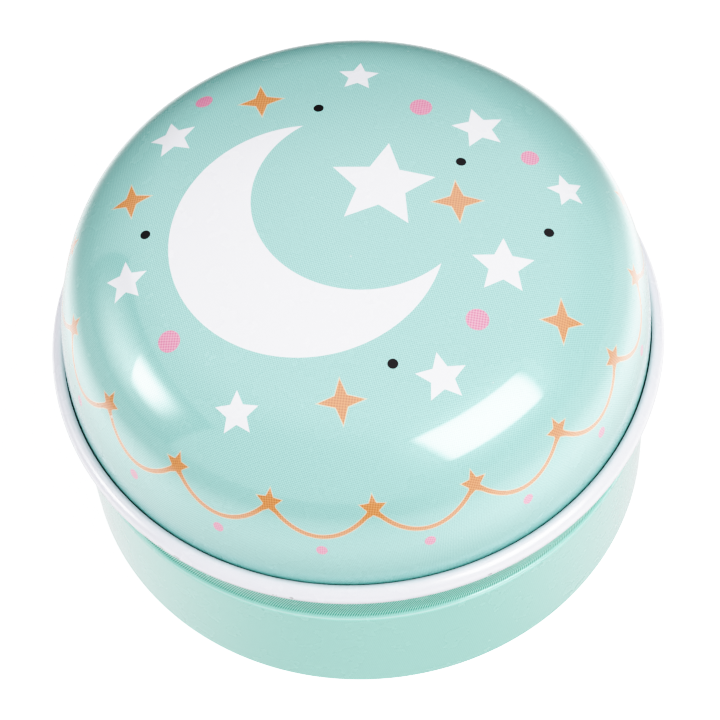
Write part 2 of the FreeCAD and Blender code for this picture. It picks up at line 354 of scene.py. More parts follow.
class NodeBench:
    """Lays nodes out in one tree and wires them together.

    A Mix node has sockets of one name for each kind of data, so these go by number: 2 and 3 take
    numbers and 6 and 7 take colours, and outputs 0 and 2 give them.
    """

    def __init__(self, tree: bpy.types.NodeTree) -> None:
        """Start on a tree."""
        self.tree = tree

    @classmethod
    def cleared(cls, owner: Material | bpy.types.World) -> "NodeBench":
        """Start on the tree of a material or a world, with nothing in it.

        Args:
            owner: The material or the world.

        Returns:
            Its bench.
        """
        owner.use_nodes = True
        owner.node_tree.nodes.clear()
        return cls(owner.node_tree)

    def place(self, kind: str, feeds: dict[str | int, Feed] | None = None,
              **settings: object) -> bpy.types.Node:
        """Add a node.

        Args:
            kind: The node's type.
            feeds: What goes into its inputs: a socket to link, or a value.
            settings: The node's own properties.

        Returns:
            The new node.
        """
        node = self.tree.nodes.new(kind)
        for key, value in settings.items():
            setattr(node, key, value)
        for key, feed in (feeds or {}).items():
            self.feed(node.inputs[key], feed)
        return node

    def feed(self, socket: Socket, feed: Feed) -> None:
        """Link a socket to an input, or set the input's value.

        Args:
            socket: The input.
            feed: The socket or the value.
        """
        if isinstance(feed, bpy.types.NodeSocket):
            self.tree.links.new(feed, socket)
        else:
            socket.default_value = feed

    def math(self, operation: str, first: Feed, second: Feed = 0.0, third: Feed = 0.0) -> Socket:
        """The result of a Math node."""
        feeds = {0: first, 1: second, 2: third}
        return self.place("ShaderNodeMath", feeds, operation=operation).outputs[0]

    def vector(self, operation: str, first: Feed, second: Feed = (0.0, 0.0, 0.0)) -> Ports:
        """The outputs of a Vector Math node."""
        return self.place("ShaderNodeVectorMath", {0: first, 1: second}, operation=operation).outputs

    def scaled(self, vector: Feed, scale: Feed) -> Socket:
        """A vector times a number."""
        feeds = {0: vector, "Scale": scale}
        return self.place("ShaderNodeVectorMath", feeds, operation="SCALE").outputs["Vector"]

    def turned(self, vector: Feed, angle: Feed) -> Socket:
        """A vector turned about Z."""
        feeds = {"Vector": vector, "Angle": angle}
        return self.place("ShaderNodeVectorRotate", feeds, rotation_type="Z_AXIS").outputs["Vector"]

    def length(self, vector: Feed) -> Socket:
        """The length of a vector."""
        return self.vector("LENGTH", vector)["Value"]

    def split(self, vector: Feed) -> Ports:
        """The X, Y and Z of a vector, as sockets."""
        return self.place("ShaderNodeSeparateXYZ", {0: vector}).outputs

    def flat(self, across: Feed, along: Feed) -> Socket:
        """A vector of an X and a Y."""
        return self.place("ShaderNodeCombineXYZ", {"X": across, "Y": along}).outputs["Vector"]

    def ramp(self, value: Feed, start: Feed, end: Feed, low: Feed = 0.0, high: Feed = 1.0) -> Socket:
        """A smooth change from low to high as a value goes from start to end."""
        feeds = {"Value": value, "From Min": start, "From Max": end, "To Min": low, "To Max": high}
        return self.place("ShaderNodeMapRange", feeds, interpolation_type="SMOOTHSTEP").outputs[0]

    def mix(self, share: Feed, first: Feed, second: Feed) -> Socket:
        """A colour between two, by the share of the second."""
        return self.place("ShaderNodeMix", {0: share, 6: first, 7: second}, data_type="RGBA").outputs[2]

    def between(self, share: Feed, first: Feed, second: Feed) -> Socket:
        """A number between two, by the share of the second."""
        return self.place("ShaderNodeMix", {0: share, 2: first, 3: second}).outputs[0]

    def shaders(self, share: Feed, first: Socket, second: Socket) -> Socket:
        """A shader between two, by the share of the second."""
        return self.place("ShaderNodeMixShader", {0: share, 1: first, 2: second}).outputs["Shader"]

    def nearest(self, distances: Sequence[Socket]) -> Socket:
        """The smallest of several distances.

        Args:
            distances: The distances.

        Returns:
            The smallest.
        """
        least = distances[0]
        for distance in distances[1:]:
            least = self.math("MINIMUM", least, distance)
        return least

    def noise(self, place: Feed, scale: float, detail: float = 2.0) -> Socket:
        """A soft noise between 0 and 1."""
        feeds = {"Vector": place, "Scale": scale, "Detail": detail}
        return self.place("ShaderNodeTexNoise", feeds).outputs["Fac"]

    def bumped(self, height: Socket) -> Socket:
        """The normal of a surface with a height in metres."""
        return self.place("ShaderNodeBump", {"Height": height, "Distance": 1.0}).outputs["Normal"]

    def attribute(self, name: str) -> Ports:
        """The outputs of a mesh attribute."""
        return self.place("ShaderNodeAttribute", attribute_name=name).outputs

    def where(self, kind: str = "Object") -> Socket:
        """A place or a direction, in the coordinates of a kind."""
        return self.place("ShaderNodeTexCoord").outputs[kind]


def new_material(name: str, surface: Callable[[NodeBench], Socket]) -> Material:
    """Make a material.

    Args:
        name: The material's name.
        surface: Wires its shader on a bench.

    Returns:
        The material.
    """
    made = bpy.data.materials.new(name)
    bench = NodeBench.cleared(made)
    bench.place("ShaderNodeOutputMaterial", {"Surface": surface(bench)})
    return made


class Effect:
    """A shader node group that is built once and placed with its own values wherever it is used."""

    name = "effect"
    inputs: dict[str, str] = {}
    outputs: dict[str, str] = {}

    def wire(self, bench: NodeBench, given: Ports) -> dict[str, Socket]:
        """Wire the group's inside."""
        raise NotImplementedError

    def tree(self) -> bpy.types.NodeTree:
        """Build the group's tree the first time that it is asked for.

        Returns:
            The tree.
        """
        made = bpy.data.node_groups.get(self.name)
        if made:
            return made
        made = bpy.data.node_groups.new(self.name, "ShaderNodeTree")
        for way, ports in (("INPUT", self.inputs), ("OUTPUT", self.outputs)):
            for port, kind in ports.items():
                made.interface.new_socket(port, in_out=way, socket_type=f"NodeSocket{kind}")
        bench = NodeBench(made)
        given = bench.place("NodeGroupInput").outputs
        bench.place("NodeGroupOutput", self.wire(bench, given))
        return made

    def put(self, bench: NodeBench, **feeds: Feed) -> Ports:
        """Place the group in a tree, with feeds named for its inputs, and give its outputs."""
        return bench.place("ShaderNodeGroup", feeds, node_tree=self.tree()).outputs


class Halftone(Effect):
    """The screen of fine dots that a printed tint is made of."""

    name = "halftone_screen"
    inputs = {"Place": "Vector", "Pitch": "Float", "Turn": "Float", "Cover": "Float"}
    outputs = {"Dots": "Float"}

    def wire(self, bench: NodeBench, given: Ports) -> dict[str, Socket]:
        """Wire two crossed waves and cut them off at the dots' edges.

        Args:
            bench: Where the group's nodes are laid out.
            given: The group's inputs.

        Returns:
            Dots: 1 inside a dot, 0 between dots.
        """
        softness, quarter, middle = 0.22, 0.25, 0.5
        turned = bench.turned(given["Place"], given["Turn"])
        waves = bench.split(bench.scaled(turned, bench.math("DIVIDE", math.tau, given["Pitch"])))
        crossed = bench.math("ADD", bench.math("COSINE", waves["X"]), bench.math("COSINE", waves["Y"]))
        level = bench.math("MULTIPLY_ADD", crossed, quarter, middle)
        edge = bench.math("SUBTRACT", 1.0, given["Cover"])
        start, end = bench.math("SUBTRACT", edge, softness), bench.math("ADD", edge, softness)
        return {"Dots": bench.ramp(level, start, end)}


class Ripple(Effect):
    """The slight unevenness of a varnished sheet, from its pressing and from the varnish."""

    name = "varnish_ripple"
    inputs = {"Place": "Vector", "Press": "Float", "Peel": "Float"}
    outputs = {"Height": "Float"}

    def wire(self, bench: NodeBench, given: Ports) -> dict[str, Socket]:
        """Wire a broad wave of the sheet and the fine peel of the varnish.

        Args:
            bench: Where the group's nodes are laid out.
            given: The group's inputs.

        Returns:
            Height: how far the surface stands out, in metres.
        """
        press_scale, peel_scale = 130.0, 2600.0
        press = bench.math("MULTIPLY", bench.noise(given["Place"], press_scale), given["Press"])
        peel = bench.math("MULTIPLY", bench.noise(given["Place"], peel_scale), given["Peel"])
        return {"Height": bench.math("ADD", press, peel)}


class EdgeRub(Effect):
    """Broken patches along rubbed edges, where the print has worn through to the plate."""

    name = "edge_rub"
    inputs = {"Place": "Vector", "Rub": "Float", "Amount": "Float"}
    outputs = {"Worn": "Float"}

    def wire(self, bench: NodeBench, given: Ports) -> dict[str, Socket]:
        """Wire a noise that is let through only near rubbed edges.

        Args:
            bench: Where the group's nodes are laid out.
            given: The group's inputs.

        Returns:
            Worn: 1 where the plate is bare.
        """
        patch_scale, detail, onset = 900.0, 6.0, 0.06
        patches = bench.noise(given["Place"], patch_scale, detail)
        level = bench.math("MULTIPLY", patches, given["Rub"])
        start = bench.math("SUBTRACT", 1.0, given["Amount"])
        return {"Worn": bench.ramp(level, start, bench.math("ADD", start, onset))}


class Specks(Effect):
    """A few tiny specks of dirt and nicks in the varnish."""

    name = "fine_specks"
    inputs = {"Place": "Vector", "Share": "Float"}
    outputs = {"Speck": "Float"}

    def wire(self, bench: NodeBench, given: Ports) -> dict[str, Socket]:
        """Wire cells of which a few hold a speck.

        Args:
            bench: Where the group's nodes are laid out.
            given: The group's inputs.

        Returns:
            Speck: 1 in the middle of a speck.
        """
        cell_scale, speck, blur = 420.0, 0.05, 0.03
        feeds = {"Vector": given["Place"], "Scale": cell_scale}
        cells = bench.place("ShaderNodeTexVoronoi", feeds).outputs
        chosen = bench.math("LESS_THAN", bench.split(cells["Color"])["X"], given["Share"])
        near = bench.ramp(cells["Distance"], speck + blur, speck)
        return {"Speck": bench.math("MULTIPLY", chosen, near)}


class StarReach(Effect):
    """Signed distance from a star's edge, negative inside it."""

    name = "star_reach"
    inputs = {"Place": "Vector", "Centre": "Vector", "Turn": "Float", "Sector": "Float",
              "Slant": "Float", "Depth": "Float"}
    outputs = {"Distance": "Float"}

    def wire(self, bench: NodeBench, given: Ports) -> dict[str, Socket]:
        """Wire one edge of the star, folded round its middle.

        Args:
            bench: Where the group's nodes are laid out.
            given: The group's inputs.

        Returns:
            Distance: from the star's edge.
        """
        offset = bench.vector("SUBTRACT", given["Place"], given["Centre"])["Vector"]
        parts = bench.split(offset)
        angle = bench.math("SUBTRACT", bench.math("ARCTAN2", parts["Y"], parts["X"]), given["Turn"])
        folded = bench.math("PINGPONG", angle, given["Sector"])
        lean = bench.math("COSINE", bench.math("SUBTRACT", folded, given["Slant"]))
        out = bench.math("MULTIPLY", bench.length(offset), lean)
        return {"Distance": bench.math("SUBTRACT", out, given["Depth"])}


class DotReach(Effect):
    """Signed distance from a dot's edge, negative inside it."""

    name = "dot_reach"
    inputs = {"Place": "Vector", "Centre": "Vector", "Radius": "Float"}
    outputs = {"Distance": "Float"}

    def wire(self, bench: NodeBench, given: Ports) -> dict[str, Socket]:
        """Wire the distance from the middle, less the radius."""
        away = bench.length(bench.vector("SUBTRACT", given["Place"], given["Centre"])["Vector"])
        return {"Distance": bench.math("SUBTRACT", away, given["Radius"])}


# The lid's printed design


class Ink(Enum):
    """The inks of the lid's design, in the order in which they are printed."""

    WHITE = "white"
    PINK = "pink"
    ORANGE = "orange"
    DARK = "dark"


@dataclass(frozen=True)
class Dot:
    """A round dot on the flat sheet, in millimetres from its middle."""

    ink: Ink
    centre: Point
    radius: float

    def lay(self, bench: NodeBench, place: Socket) -> Socket:
        """Wire the distance from the dot's edge."""
        centre = (self.centre[0] * MM, self.centre[1] * MM, 0.0)
        return DotReach().put(bench, Place=place, Centre=centre, Radius=self.radius * MM)["Distance"]


@dataclass(frozen=True)
class Star:
    """A star on the flat sheet, in millimetres from its middle, with its turn in degrees."""

    ink: Ink
    centre: Point
    reach: float
    turn: float
    tips: int = 5
    waist_share: float = 0.47

    def lay(self, bench: NodeBench, place: Socket) -> Socket:
        """Wire the distance from the star's edge.

        Args:
            bench: Where the nodes are laid out.
            place: The place on the flat sheet.

        Returns:
            The distance.
        """
        sector = math.pi / self.tips
        across = self.waist_share * math.sin(sector)
        back = 1 - self.waist_share * math.cos(sector)
        depth = across / math.hypot(across, back)
        feeds = {
            "Centre": (self.centre[0] * MM, self.centre[1] * MM, 0.0),
            "Turn": math.radians(self.turn),
            "Sector": sector,
            "Slant": math.atan2(back, across),
            "Depth": depth * self.reach * MM,
        }
        return StarReach().put(bench, Place=place, **feeds)["Distance"]


@dataclass(frozen=True)
class Crescent:
    """A crescent: a round dot with a round bite out of it."""

    whole: Dot
    bite: Dot

    @property
    def ink(self) -> Ink:
        """The crescent's ink."""
        return self.whole.ink

    def lay(self, bench: NodeBench, place: Socket) -> Socket:
        """Wire the distance from the crescent's edge."""
        outside_bite = bench.math("MULTIPLY", self.bite.lay(bench, place), -1.0)
        return bench.math("MAXIMUM", self.whole.lay(bench, place), outside_bite)


@dataclass(frozen=True)
class Garland:
    """Swags of line round the lid's shoulder, with a star where they meet and a bead under each."""

    swags: int = 18
    height: float = 30.2 * MM
    sag: float = 3.4 * MM
    stroke: float = 0.5 * MM
    star: float = 1.55 * MM
    star_turn: float = -90.0
    bead: float = 0.62 * MM
    bead_drop: float = 1.9 * MM

    def lay(self, bench: NodeBench, place: Socket) -> dict[Ink, list[Socket]]:
        """Wire the distances from the garland's edges.

        Args:
            bench: Where the nodes are laid out.
            place: The place on the flat sheet.

        Returns:
            The distances, by ink.
        """
        middle = (0.0, 0.0)
        half = math.pi / self.swags
        girth = self.height + self.sag
        parts, out = bench.split(place), bench.length(place)
        turned = bench.math("PINGPONG", bench.math("ARCTAN2", parts["Y"], parts["X"]), half)
        sideways = bench.math("MULTIPLY", turned, girth)
        share = bench.math("DIVIDE", turned, half)
        curve = bench.math("MULTIPLY_ADD", bench.math("MULTIPLY", share, share), -self.sag, girth)
        off = bench.math("ABSOLUTE", bench.math("SUBTRACT", out, curve))
        slope = bench.math("MULTIPLY", share, 2 * self.sag / (half * girth))
        steep = bench.math("SQRT", bench.math("MULTIPLY_ADD", slope, slope, 1.0))
        thread = bench.math("SUBTRACT", bench.math("DIVIDE", off, steep), self.stroke / 2)
        under = bench.flat(sideways, bench.math("SUBTRACT", out, girth + self.bead_drop))
        bead = Dot(Ink.PINK, middle, self.bead / MM).lay(bench, under)
        meet = bench.flat(bench.math("SUBTRACT", sideways, half * girth),
                          bench.math("SUBTRACT", out, self.height))
        star = Star(Ink.ORANGE, middle, self.star / MM, self.star_turn).lay(bench, meet)
        return {Ink.ORANGE: [thread, star], Ink.PINK: [bead]}


WHITE_STARS = (
    ((3.6, 2.8), 5.2, 78),
    ((13.6, 9.6), 2.7, 100),
    ((14.2, -7.0), 3.1, 84),
    ((-16.4, 12.4), 2.5, 96),
    ((2.4, 17.6), 2.1, 80),
    ((-21.6, -4.0), 2.3, 88),
    ((21.4, 2.0), 2.0, 104),
    ((7.4, -18.2), 2.5, 97),
    ((-11.8, -19.6), 2.2, 82),
)
GLINTS = (
    ((10.6, 0.4), 2.4),
    ((-7.4, 15.4), 2.2),
    ((19.4, -12.6), 2.2),
    ((-20.8, 5.4), 2.1),
    ((-2.0, -19.8), 2.2),
)
GLINT_TURN, GLINT_TIPS, GLINT_WAIST = 90, 4, 0.36
PINK_DOTS = (
    ((8.2, 12.6), 1.1),
    ((18.2, 5.8), 0.9),
    ((11.2, -12.6), 1.1),
    ((-13.2, 17.0), 0.9),
    ((-17.6, -11.4), 1.1),
)
DARK_DOTS = ((11.4, 5.2), (19.0, -3.2), (-1.8, 13.4), (-19.4, 0.8), (3.0, -16.6))
DARK_RADIUS = 0.5

NIGHT_SKY = (
    Crescent(Dot(Ink.WHITE, (-4.0, -2.0), 13.2), Dot(Ink.WHITE, (1.7, 1.8), 10.7)),
    *(Star(Ink.WHITE, *star) for star in WHITE_STARS),
    *(Star(Ink.ORANGE, *glint, GLINT_TURN, GLINT_TIPS, GLINT_WAIST) for glint in GLINTS),
    *(Dot(Ink.PINK, *dot) for dot in PINK_DOTS),
    *(Dot(Ink.DARK, centre, DARK_RADIUS) for centre in DARK_DOTS),
)


# Finishes


@dataclass(frozen=True)
class Finish:
    """What one face of a sheet is finished with."""

    name: str

    def surface(self, bench: NodeBench) -> Socket:
        """Wire the finish's shader."""
        raise NotImplementedError

    def material(self) -> Material:
        """The finish as a material, made the first time that it is asked for."""
        return bpy.data.materials.get(self.name) or new_material(self.name, self.surface)


@dataclass(frozen=True)
class Varnished(Finish):
    """Glossy varnish over a coloured sheet, shared by the printed and the white faces."""

    roughness: float = 0.27
    mottle: float = 0.06
    mottle_scale: float = 300.0
    mottle_detail: float = 4.0
    ior: float = 1.5
    gloss: float = 0.06
    coat_ior: float = 1.72
    press: float = 0.012 * MM
    peel: float = 0.00015 * MM
    worn_amount: float = 0.42
    plate_colour: Colour = shade(205, 206, 207)
    speck_share: float = 0.05
    speck_strength: float = 0.6
    speck_colour: Colour = shade(244, 247, 247)
    # Painted shade in the crevice: how much of its colour shows, and the colour.
    crevice_shade_share: float = 0.2
    crevice_shade_colour: Colour = shade(112, 136, 144)

    def colour(self, bench: NodeBench, where: Socket) -> Socket:
        """Wire the colour of the unworn face, by the place on the piece."""
        raise NotImplementedError

    def varnish(self, bench: NodeBench, bare: Socket) -> Socket:
        """Wire the share of the face that shows its varnish: all but what is bare of it."""
        return bench.math("SUBTRACT", 1.0, bare)

    def surface(self, bench: NodeBench) -> Socket:
        """Wire the coloured sheet under its varnish, with its wear and specks, and with painted shade
        in the crevice that also dulls the varnish.

        Args:
            bench: The material's bench.

        Returns:
            The shader.
        """
        where = bench.where()
        rub, crevice_shade = bench.attribute(RUB)["Fac"], bench.attribute(CREVICE_SHADE)["Fac"]
        worn = EdgeRub().put(bench, Place=where, Rub=rub, Amount=self.worn_amount)["Worn"]
        speck = Specks().put(bench, Place=where, Share=self.speck_share)["Speck"]
        speck = bench.math("MULTIPLY", speck, self.speck_strength)
        specked = bench.mix(speck, self.colour(bench, where), self.speck_colour)
        # Painted shade: the colour turns darker towards the crevice, where the rim shades it.
        crevice_shaded = bench.mix(bench.math("MULTIPLY", crevice_shade, self.crevice_shade_share), specked, self.crevice_shade_colour)
        height = Ripple().put(bench, Place=where, Press=self.press, Peel=self.peel)["Height"]
        mottled = bench.noise(where, self.mottle_scale, self.mottle_detail)
        smoothest = self.roughness - self.mottle / 2
        feeds = {
            "Base Color": bench.mix(worn, crevice_shaded, self.plate_colour),
            "Metallic": worn,
            "Roughness": bench.math("MULTIPLY_ADD", mottled, self.mottle, smoothest),
            "IOR": self.ior,
            # Under the painted crevice shade the varnish is taken away too, so the gloss goes dull
            # there.
            "Coat Weight": self.varnish(bench, bench.math("MAXIMUM", worn, crevice_shade)),
            "Coat Roughness": self.gloss,
            "Coat IOR": self.coat_ior,
            "Normal": bench.bumped(height),
        }
        return bench.place("ShaderNodeBsdfPrincipled", feeds).outputs["BSDF"]


@dataclass(frozen=True)
class MintPrint(Varnished):
    """A mint tint printed as a fine screen of dots."""

    light: Colour = shade(180, 232, 225)
    deep: Colour = shade(126, 180, 174)
    pitch: float = 0.2 * MM
    turn: float = math.radians(-10.5)
    cover: float = 0.5
    grain: float = 6500.0
    grain_detail: float = 1.0
    grain_share: float = 0.55

    def screen(self, bench: NodeBench, place: Socket, pitch: float, turn: float) -> Socket:
        """Wire a screen of dots on the flat sheet, with a pitch and a turn of its own."""
        return Halftone().put(bench, Place=place, Pitch=pitch, Turn=turn, Cover=self.cover)["Dots"]

    def tint(self, bench: NodeBench, place: Socket) -> Socket:
        """Wire the mint tint, a screen of dots that the sheet's grain breaks up.

        Args:
            bench: The material's bench.
            place: The place on the flat sheet.

        Returns:
            The colour.
        """
        dots = self.screen(bench, place, self.pitch, self.turn)
        grain = bench.noise(place, self.grain, self.grain_detail)
        return bench.mix(bench.between(self.grain_share, dots, grain), self.light, self.deep)


@dataclass(frozen=True)
class WallPrint(MintPrint):
    """The wall's print: the mint tint, with painted shade on the neck under the lid's rim as a deeper
    striped tint, and a painted highlight along the crest.
    """

    light: Colour = shade(166, 225, 212)
    deep: Colour = shade(146, 212, 198)
    # Painted shade on the neck, where the lid's rim overhangs it: where it starts, its two colours and
    # its stripes.
    neck_start: float = 16.62 * MM
    neck_blur: float = 0.15 * MM
    neck_shade_pale: Colour = shade(146, 213, 197)
    neck_shade_dark: Colour = shade(56, 142, 120)
    neck_pitch: float = 0.22 * MM
    neck_turn: float = math.radians(-28)
    stripe_blur: float = 0.6
    # Painted highlight along the crest's bend: where it is, how far it reaches, its paler colour and
    # its share.
    crest: float = 16.3 * MM
    crest_highlight_reach: float = 0.16 * MM
    crest_highlight: Colour = shade(214, 240, 235)
    crest_highlight_share: float = 0.6
    dull_reach: float = 0.5 * MM
    dull_varnish: float = 0.15

    def off_crest(self, bench: NodeBench, place: Socket) -> Socket:
        """Wire the distance from the crest's bend, up or down the flat sheet."""
        height = bench.math("SUBTRACT", bench.split(place)["Y"], self.crest)
        return bench.math("ABSOLUTE", height)

    def colour(self, bench: NodeBench, where: Socket) -> Socket:
        """Wire the tint, the painted shade on the neck, and the painted highlight along the crest.

        Args:
            bench: The material's bench.
            where: The place on the piece; not used.

        Returns:
            The colour.
        """
        place = bench.attribute(PLACE)["Vector"]
        across = bench.split(bench.turned(place, -self.neck_turn))["X"]
        wave = bench.math("COSINE", bench.math("MULTIPLY", across, math.tau / self.neck_pitch))
        stripes = bench.ramp(wave, -self.stripe_blur, self.stripe_blur)
        # Painted shade under the rim: the neck darker, in stripes like the print's screen.
        neck = bench.mix(stripes, self.neck_shade_pale, self.neck_shade_dark)
        start, end = self.neck_start - self.neck_blur, self.neck_start + self.neck_blur
        neck_shade_mask = bench.ramp(bench.split(place)["Y"], start, end)
        printed = bench.mix(neck_shade_mask, self.tint(bench, place), neck)
        off_crest = self.off_crest(bench, place)
        # Painted highlight: a paler line along the crest.
        crest_highlight_mask = bench.ramp(off_crest, self.crest_highlight_reach, 0.0, 0.0, self.crest_highlight_share)
        return bench.mix(crest_highlight_mask, printed, self.crest_highlight)

    def varnish(self, bench: NodeBench, bare: Socket) -> Socket:
        """Wire the varnish, which is dull along the crest's bend.

        Args:
            bench: The material's bench.
            bare: Where the face is worn, or under the painted crevice shade.

        Returns:
            The share of the face that shows its varnish.
        """
        off_crest = self.off_crest(bench, bench.attribute(PLACE)["Vector"])
        open_share = bench.ramp(off_crest, 0.0, self.dull_reach, self.dull_varnish, 1.0)
        return bench.math("MULTIPLY", super().varnish(bench, bare), open_share)


@dataclass(frozen=True)
class LidPrint(MintPrint):
    """The lid's print: a night sky on the mint tint, with a garland round the shoulder."""

    paper: Colour = shade(246, 246, 250)
    pink: tuple[Colour, Colour] = (shade(238, 166, 190), shade(222, 122, 156))
    orange: tuple[Colour, Colour] = (shade(230, 158, 108), shade(206, 126, 80))
    dark: Colour = shade(30, 24, 28)
    trap_colour: Colour = shade(244, 226, 190)
    trap: float = 0.1 * MM
    trap_share: float = 0.7
    edge_blur: float = 0.02 * MM
    screen_pitch: float = 0.26 * MM
    screen_turn: float = math.radians(12)
    garland: Garland = Garland()
    # Painted shade on the skirt just above the crevice: a deeper teal.
    crevice_shade_colour: Colour = shade(60, 146, 142)
    crevice_shade_share: float = 0.26

    def colour(self, bench: NodeBench, where: Socket) -> Socket:
        """Wire the design over the tint, ink by ink, with a pale edge round the orange.

        Args:
            bench: The material's bench.
            where: The place on the piece; not used.

        Returns:
            The colour.
        """
        place = bench.attribute(PLACE)["Vector"]
        distances = {ink: [] for ink in Ink}
        for motif in NIGHT_SKY:
            distances[motif.ink].append(motif.lay(bench, place))
        for ink, found in self.garland.lay(bench, place).items():
            distances[ink] += found
        dots = self.screen(bench, place, self.screen_pitch, self.screen_turn)
        colours = {
            Ink.WHITE: self.paper,
            Ink.PINK: bench.mix(dots, *self.pink),
            Ink.ORANGE: bench.mix(dots, *self.orange),
            Ink.DARK: self.dark,
        }
        printed = self.tint(bench, place)
        for ink in Ink:
            edge = bench.nearest(distances[ink])
            if ink is Ink.ORANGE:
                full = self.trap - 2 * self.edge_blur
                halo = bench.ramp(edge, self.trap, full, 0.0, self.trap_share)
                printed = bench.mix(halo, printed, self.trap_colour)
            inside = bench.ramp(edge, self.edge_blur, -self.edge_blur)
            printed = bench.mix(inside, printed, colours[ink])
        return printed

    def varnish(self, bench: NodeBench, bare: Socket) -> Socket:
        """Wire the varnish, which the dull dark ink lies over.

        Args:
            bench: The material's bench.
            bare: Where the face is worn, or under the painted crevice shade.

        Returns:
            The share of the face that shows its varnish.
        """
        place = bench.attribute(PLACE)["Vector"]
        dark = [motif for motif in NIGHT_SKY if motif.ink is Ink.DARK]
        edge = bench.nearest([motif.lay(bench, place) for motif in dark])
        open_share = bench.ramp(edge, -self.edge_blur, self.edge_blur)
        return bench.math("MULTIPLY", super().varnish(bench, bare), open_share)


@dataclass(frozen=True)
class WhiteLining(Varnished):
    """The white coating of the sheet's inner face, which the lid's rolled rim also shows."""

    clean: Colour = shade(240, 239, 246)
    dull: Colour = shade(234, 234, 241)
    cloud_scale: float = 160.0
    cloud_detail: float = 3.0
    gloss: float = 0.14
    coat_ior: float = 1.5

    def colour(self, bench: NodeBench, where: Socket) -> Socket:
        """Wire a white that is slightly uneven."""
        return bench.mix(bench.noise(where, self.cloud_scale, self.cloud_detail), self.clean, self.dull)


@dataclass(frozen=True)
class BarePlate(Finish):
    """Bright tinplate with the fine lines of the rolling mill."""

    bright: Colour = shade(214, 215, 217)
    grey: Colour = shade(178, 180, 184)
    stretch: Triple = (60.0, 6000.0, 60.0)
    line_height: float = 0.0006 * MM
    line_range: Point = (0.2, 0.8)
    roughness: Point = (0.2, 0.36)
    cloud_scale: float = 220.0
    detail: float = 3.0
    speck_share: float = 0.12
    speck_strength: float = 0.5
    speck_colour: Colour = shade(120, 121, 124)

    def surface(self, bench: NodeBench) -> Socket:
        """Wire the rolled plate, with its lines and specks.

        Args:
            bench: The material's bench.

        Returns:
            The shader.
        """
        where = bench.where()
        drawn_out = bench.vector("MULTIPLY", where, self.stretch)["Vector"]
        lines = bench.noise(drawn_out, 1.0, self.detail)
        clouds = bench.noise(where, self.cloud_scale, self.detail)
        tone = bench.math("MULTIPLY", bench.math("ADD", lines, clouds), 1 / 2)
        rolled = bench.mix(tone, self.bright, self.grey)
        speck = Specks().put(bench, Place=where, Share=self.speck_share)["Speck"]
        speck = bench.math("MULTIPLY", speck, self.speck_strength)
        feeds = {
            "Base Color": bench.mix(speck, rolled, self.speck_colour),
            "Metallic": 1.0,
            "Roughness": bench.ramp(lines, *self.line_range, *self.roughness),
            "Normal": bench.bumped(bench.math("MULTIPLY", lines, self.line_height)),
        }
        return bench.place("ShaderNodeBsdfPrincipled", feeds).outputs["BSDF"]


LID_PRINT = LidPrint("night_sky_print")
WALL_PRINT = WallPrint("mint_print")
LINING = WhiteLining("white_lining")
PLATE = BarePlate("bright_plate")


# The tin's pieces


@dataclass(frozen=True)
class Pressing:
    """What every pressed piece has: its sheet, its node and body, and the finishes of its faces."""

    name: str
    node: str
    body: str
    slot: str
    outside: Finish
    inside: Finish
    gauge: float = 0.25 * MM
    columns: int = 256

    def dress(self, piece: Thing) -> None:
        """Give a piece its finishes and hang it on its body.

        Args:
            piece: The piece, in place.
        """
        for finish in (self.outside, self.inside, PLATE):
            piece.data.materials.append(finish.material())
        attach(piece, self.body)
        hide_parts(self.node)


